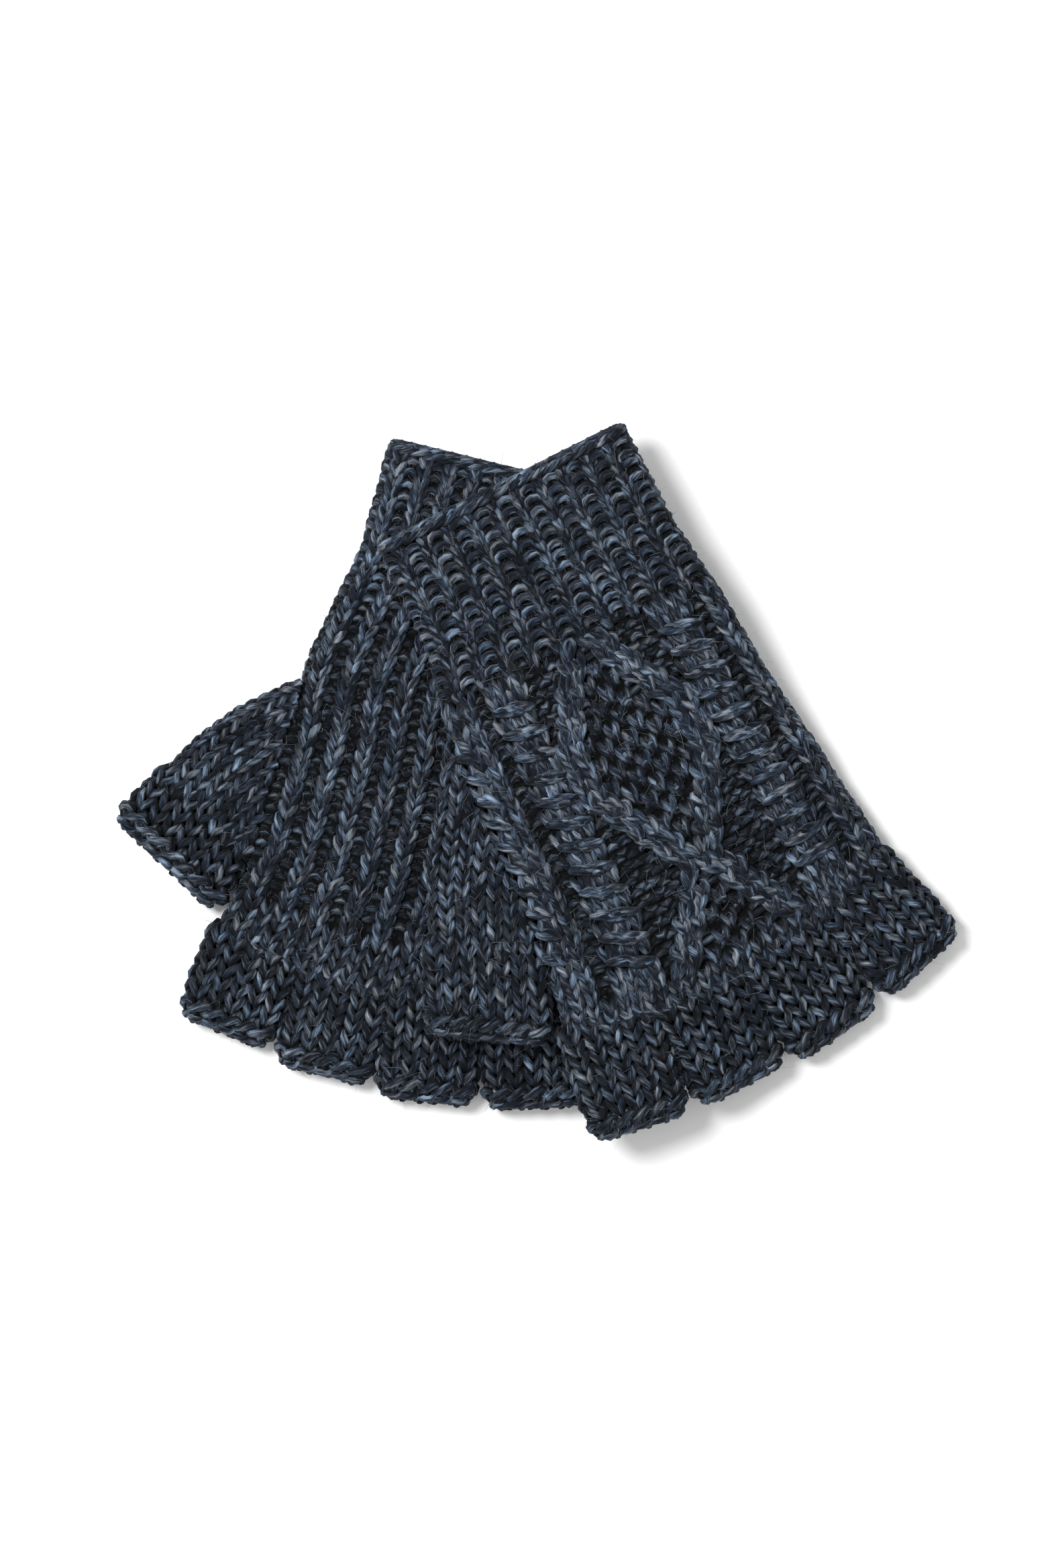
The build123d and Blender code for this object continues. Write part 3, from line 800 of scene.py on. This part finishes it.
def bend_with_hand(piece, lie, length):
    """The piece's placement is baked into its mesh; points at the stall's root and along it are worked out
    and not used.
    """
    start, end = lie.outward(np.zeros(2), np.array([-1 * MM, min(13 * MM, length - BAND - 1 * MM)]))
    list(start)
    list(end)
    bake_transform(piece)


def edge_chain(path, out, side, width, rise, yarn, links, slant):
    """A chained edge: one loop to each link, its two legs a V along the path, its feet tucked under.

    Through a link t goes from -pi to pi: along the path rise cos(t), to the side width (t / (2 pi) +
    lean sin(2 t) + slant cos(t)), and up -depth cos(2 t), less at the feet. path, out and side are functions
    of the share of the way round.
    """
    t = np.linspace(-0.93, 0.93, 15)[None] * np.pi
    centre = (np.arange(links) / links)[:, None] + luck.normal(0, 0.06 / links, (links, 1))
    size = 1 + luck.normal(0, 0.06, (links, 1))
    share = centre + rise * size * np.cos(t) + luck.normal(0, 0.012, (links, 1)) / links
    middle, up, across = path(share), out(share), side(share)
    lateral = width * size * (t / (2 * np.pi) + 0.20 * np.sin(2 * t) + slant * np.cos(t))
    lift = -0.7 * MM * np.cos(2 * t) - 0.9 * MM * (np.abs(t) / np.pi) ** 4
    points = middle + lateral[..., None] * across + lift[..., None] * up
    normals = np.broadcast_to(up, points.shape)
    # The height handed on is raised 0.7 mm, so the wool's painted shade darkens the chain less.
    return points, normals, spun(points, normals, yarn, lift + 0.7 * MM)


def mouth(hand, lie, outline, y, thick, wider):
    """Places round a flat tube's mouth at a place along it: a function of the share of the way round.

    It also takes how far in from the middle layer and how far along, and gives the outward normals too.
    """
    low, high = outline(np.array(y))
    turn = thick / 2 - DEPTH - YARN
    rim = RIM - wider
    total = np.pi * turn + high - low - 2 * rim - 2 * turn

    def place(share, inside=0.0, further=0.0):
        s = (share % 1) * 2 * total
        x, height, nx, nz, _ = round_section(s, low + rim, high - rim, turn, turn, turn)
        out = nx[..., None] * np.append(lie.across, 0) + nz[..., None] * np.array([0, 0, 1.0])
        return laid(hand, lie, x - nx * inside, y + further + 0 * x, height - nz * inside, thick), out

    return place


def rim_chain(place, lie, lean_out, width, yarn, links, slant, rise, flip=1):
    """An edge chain round a mouth, its face leaning out past the mouth by an angle.

    It faces the outward normal times the angle's cosine plus the way along times its sine, and its loops lie
    across that, the way along times the cosine less the normal times the sine.
    """
    along = np.append(lie.along, 0.0)

    def face(share):
        return place(share)[1] * np.cos(lean_out) + along * flip * np.sin(lean_out)

    def side(share):
        return along * np.cos(lean_out) - place(share)[1] * flip * np.sin(lean_out)

    def path(share):
        return place(share)[0]

    return edge_chain(path, face, side, width, rise / links, yarn, links, slant)


def ridges(place, inside, alongs, waves):
    """The ridges behind a bound-off chain: yarns round the inside of the mouth, in small waves."""
    share = np.linspace(0, 1, waves * 8, endpoint=False)
    wave = 2 * np.pi * waves * share
    rings = [
        place(share, inside + 0.3 * MM * np.cos(wave + at), along + 0.4 * MM * np.sin(wave + at))
        for at, along in enumerate(alongs)
    ]
    points, out = (np.stack(parts) for parts in zip(*rings))
    return spun(points, out, 0.9 * YARN, -inside, closed=True)


for hand in ("right", "left"):
    for name in ("thumb", *FINGERS):
        lie, outline, length = stall_outline(hand, name)
        length = length + GIVE.get(f"{hand}_{name}", 0.0)
        corners, _ = solid(f"{hand}_{name}_stall")
        thick = corners[:, 2].max() - corners[:, 2].min() if hand == "right" else DRAPED_STALL
        low, high = outline(np.array([length / 2]))
        turn = thick / 2 - DEPTH - YARN
        around = 2 * (np.pi * turn + high[0] - low[0] - 2 * turn)
        stitches = 2 * int(round(around / STALL_STITCH / 2))
        rows = int(round((length - BAND + TUCK + 1 * MM) / STALL_ROW))
        face = np.ones((rows, stitches))
        points, normals, width, up = knit_tube(
            hand, lie, outline, -TUCK, length - BAND + 2 * MM, face, np.ones(stitches), face * 0, thick=thick,
            first=0.5, wider=WIDER, root_thicker=THICK - thick,
        )
        yarn = spun(points, normals, width, up, closed=True)
        hairs = fuzz(points, normals, int(face.size * HAIRS))
        piece = knitted(f"{hand}_{name}_yarn", [yarn], [hairs], plain_wool, stray)
        bend_with_hand(piece, lie, length)
        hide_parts(f"{hand}_{name}_stall")

        place = mouth(hand, lie, outline, length - CHAIN_BACK, thick, NARROW * WIDER)
        points, normals, yarn = rim_chain(
            place, lie, CHAIN_LEAN, CHAIN_WIDE, CHAIN_YARN, stitches, CHAIN_SLANT, CHAIN_REACH
        )
        ridge = ridges(place, RIDGE_IN, RIDGE_AT, stitches)
        hairs = fuzz(points, normals, int(stitches * 4))
        piece = knitted(f"{hand}_{name}_edge_yarn", [yarn, ridge], [hairs], edge_wool, stray)
        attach(piece, f"{hand}_{name}")
        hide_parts(f"{hand}_{name}_bind_off")

# ------------------------------------------------------------------------------------- cast-on edges, forks
# The cast-on edge is a thin cord of the same wool round the cuff's mouth, the loops that the first row hangs
# from. A fork is the stitch or two cast on between two fingers: its yarn runs from the palm to the back.

CAST_ON = 40  # loops round the mouth
CORD_Y, CORD_THICKER = 1.3 * MM, 0.8 * MM  # its place along, and how far it stands past the cuff
CORD_LEAN, CORD_WIDE, CORD_YARN, CORD_SLANT, CORD_REACH = 0.35, 3.0 * MM, 1.15 * MM, 0.25, 1.0
SWING, SWINGS = 0.9 * MM, 9  # a fork's yarn swings to and fro as it climbs

for hand in ("right", "left"):
    lie = lies[hand]
    outline = Outline(lie, [f"{hand}_cuff_rib"], 4 * MM, 8 * MM)
    place = mouth(hand, lie, outline, CORD_Y, THICK + CORD_THICKER, 0.0)
    points, normals, yarn = rim_chain(
        place, lie, CORD_LEAN, CORD_WIDE, CORD_YARN, CAST_ON, CORD_SLANT, CORD_REACH, flip=-1
    )
    hairs = fuzz(points, normals, 150)
    piece = knitted(f"{hand}_cast_on_yarn", [yarn], [hairs], edge_wool, stray)
    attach(piece, f"{hand}_cuff")
    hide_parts(f"{hand}_cast_on_edge")

    strands, stray_strands = [], []
    shape = hands[hand]
    climb = np.linspace(-1, 1, 28)[None]
    for at in (1, 3, 5):
        x = (shape.root_x[at] + shape.root_x[at + 1]) / 2
        y = min(shape.root_y[at], shape.root_y[at + 1]) - 1.2 * MM
        for beside in (-1.3, 1.3):
            spot_x = x + beside * MM + SWING * np.sin(climb * SWINGS + beside)
            spot_y = y + 0.5 * MM * np.cos(climb * SWINGS)
            points = laid(hand, shape.lie, spot_x, spot_y, climb * SIDE_TURN * 0.95)
            out = np.broadcast_to(np.append(shape.lie.along, 0), points.shape)
            strands.append(spun(points, out, YARN))
            stray_strands.append(fuzz(points, out, 5))
    piece = knitted(f"{hand}_fork_yarn", strands, stray_strands, plain_wool, stray)
    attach(piece, f"{hand}_hand")
    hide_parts(f"{hand}_finger_forks")

# --------------------------------------------------------------------------------- table, light and camera
# None of this is part of the gloves: a plain white table, a large soft light from the upper left, and a
# camera straight above the pair.

table_mesh = bpy.data.meshes.new("table")
table_mesh.from_pydata([(-3, -3, 0), (3, -3, 0), (3, 3, 0), (-3, 3, 0)], [], [(0, 1, 2, 3)])
table = bpy.data.objects.new("table", table_mesh)
bpy.context.scene.collection.objects.link(table)
table_white = bpy.data.materials.new("white table")
table_white.use_nodes = True
surface = table_white.node_tree.nodes["Principled BSDF"]
surface.inputs["Base Color"].default_value = (0.9, 0.9, 0.9, 1)
surface.inputs["Roughness"].default_value = 0.9
surface.inputs["Specular IOR Level"].default_value = 0.0
table.data.materials.append(table_white)

LAMP_PLACE, LAMP_SIZE, LAMP_POWER, SKY = (-0.54, 0.30, 1.0), 0.42, 13.0, 0.75
light = bpy.data.lights.new("window", "AREA")
light.shape, light.size, light.energy = "DISK", LAMP_SIZE, LAMP_POWER
lamp = bpy.data.objects.new("window", light)
bpy.context.scene.collection.objects.link(lamp)
lamp.location = LAMP_PLACE
lamp.rotation_euler = (-Vector(LAMP_PLACE)).to_track_quat("-Z", "Y").to_euler()
world = bpy.data.worlds.new("studio")
world.use_nodes = True
world.node_tree.nodes["Background"].inputs["Color"].default_value = (1, 1, 1, 1)
world.node_tree.nodes["Background"].inputs["Strength"].default_value = SKY
bpy.context.scene.world = world
bpy.context.scene.view_settings.view_transform = "Standard"

VIEW_TALL, FOCAL, SENSOR, PAIR_MIDDLE = 0.4676, 100, 36, 0.012  # metres seen, mm, mm, height looked at
lens = bpy.data.cameras.new("camera")
lens.lens, lens.sensor_width, lens.clip_start, lens.clip_end = FOCAL, SENSOR, 0.05, 20
camera = bpy.data.objects.new("camera", lens)
bpy.context.scene.collection.objects.link(camera)
camera.location = (-0.0023, -0.0003, VIEW_TALL * FOCAL / SENSOR + PAIR_MIDDLE)
bpy.context.scene.camera = camera
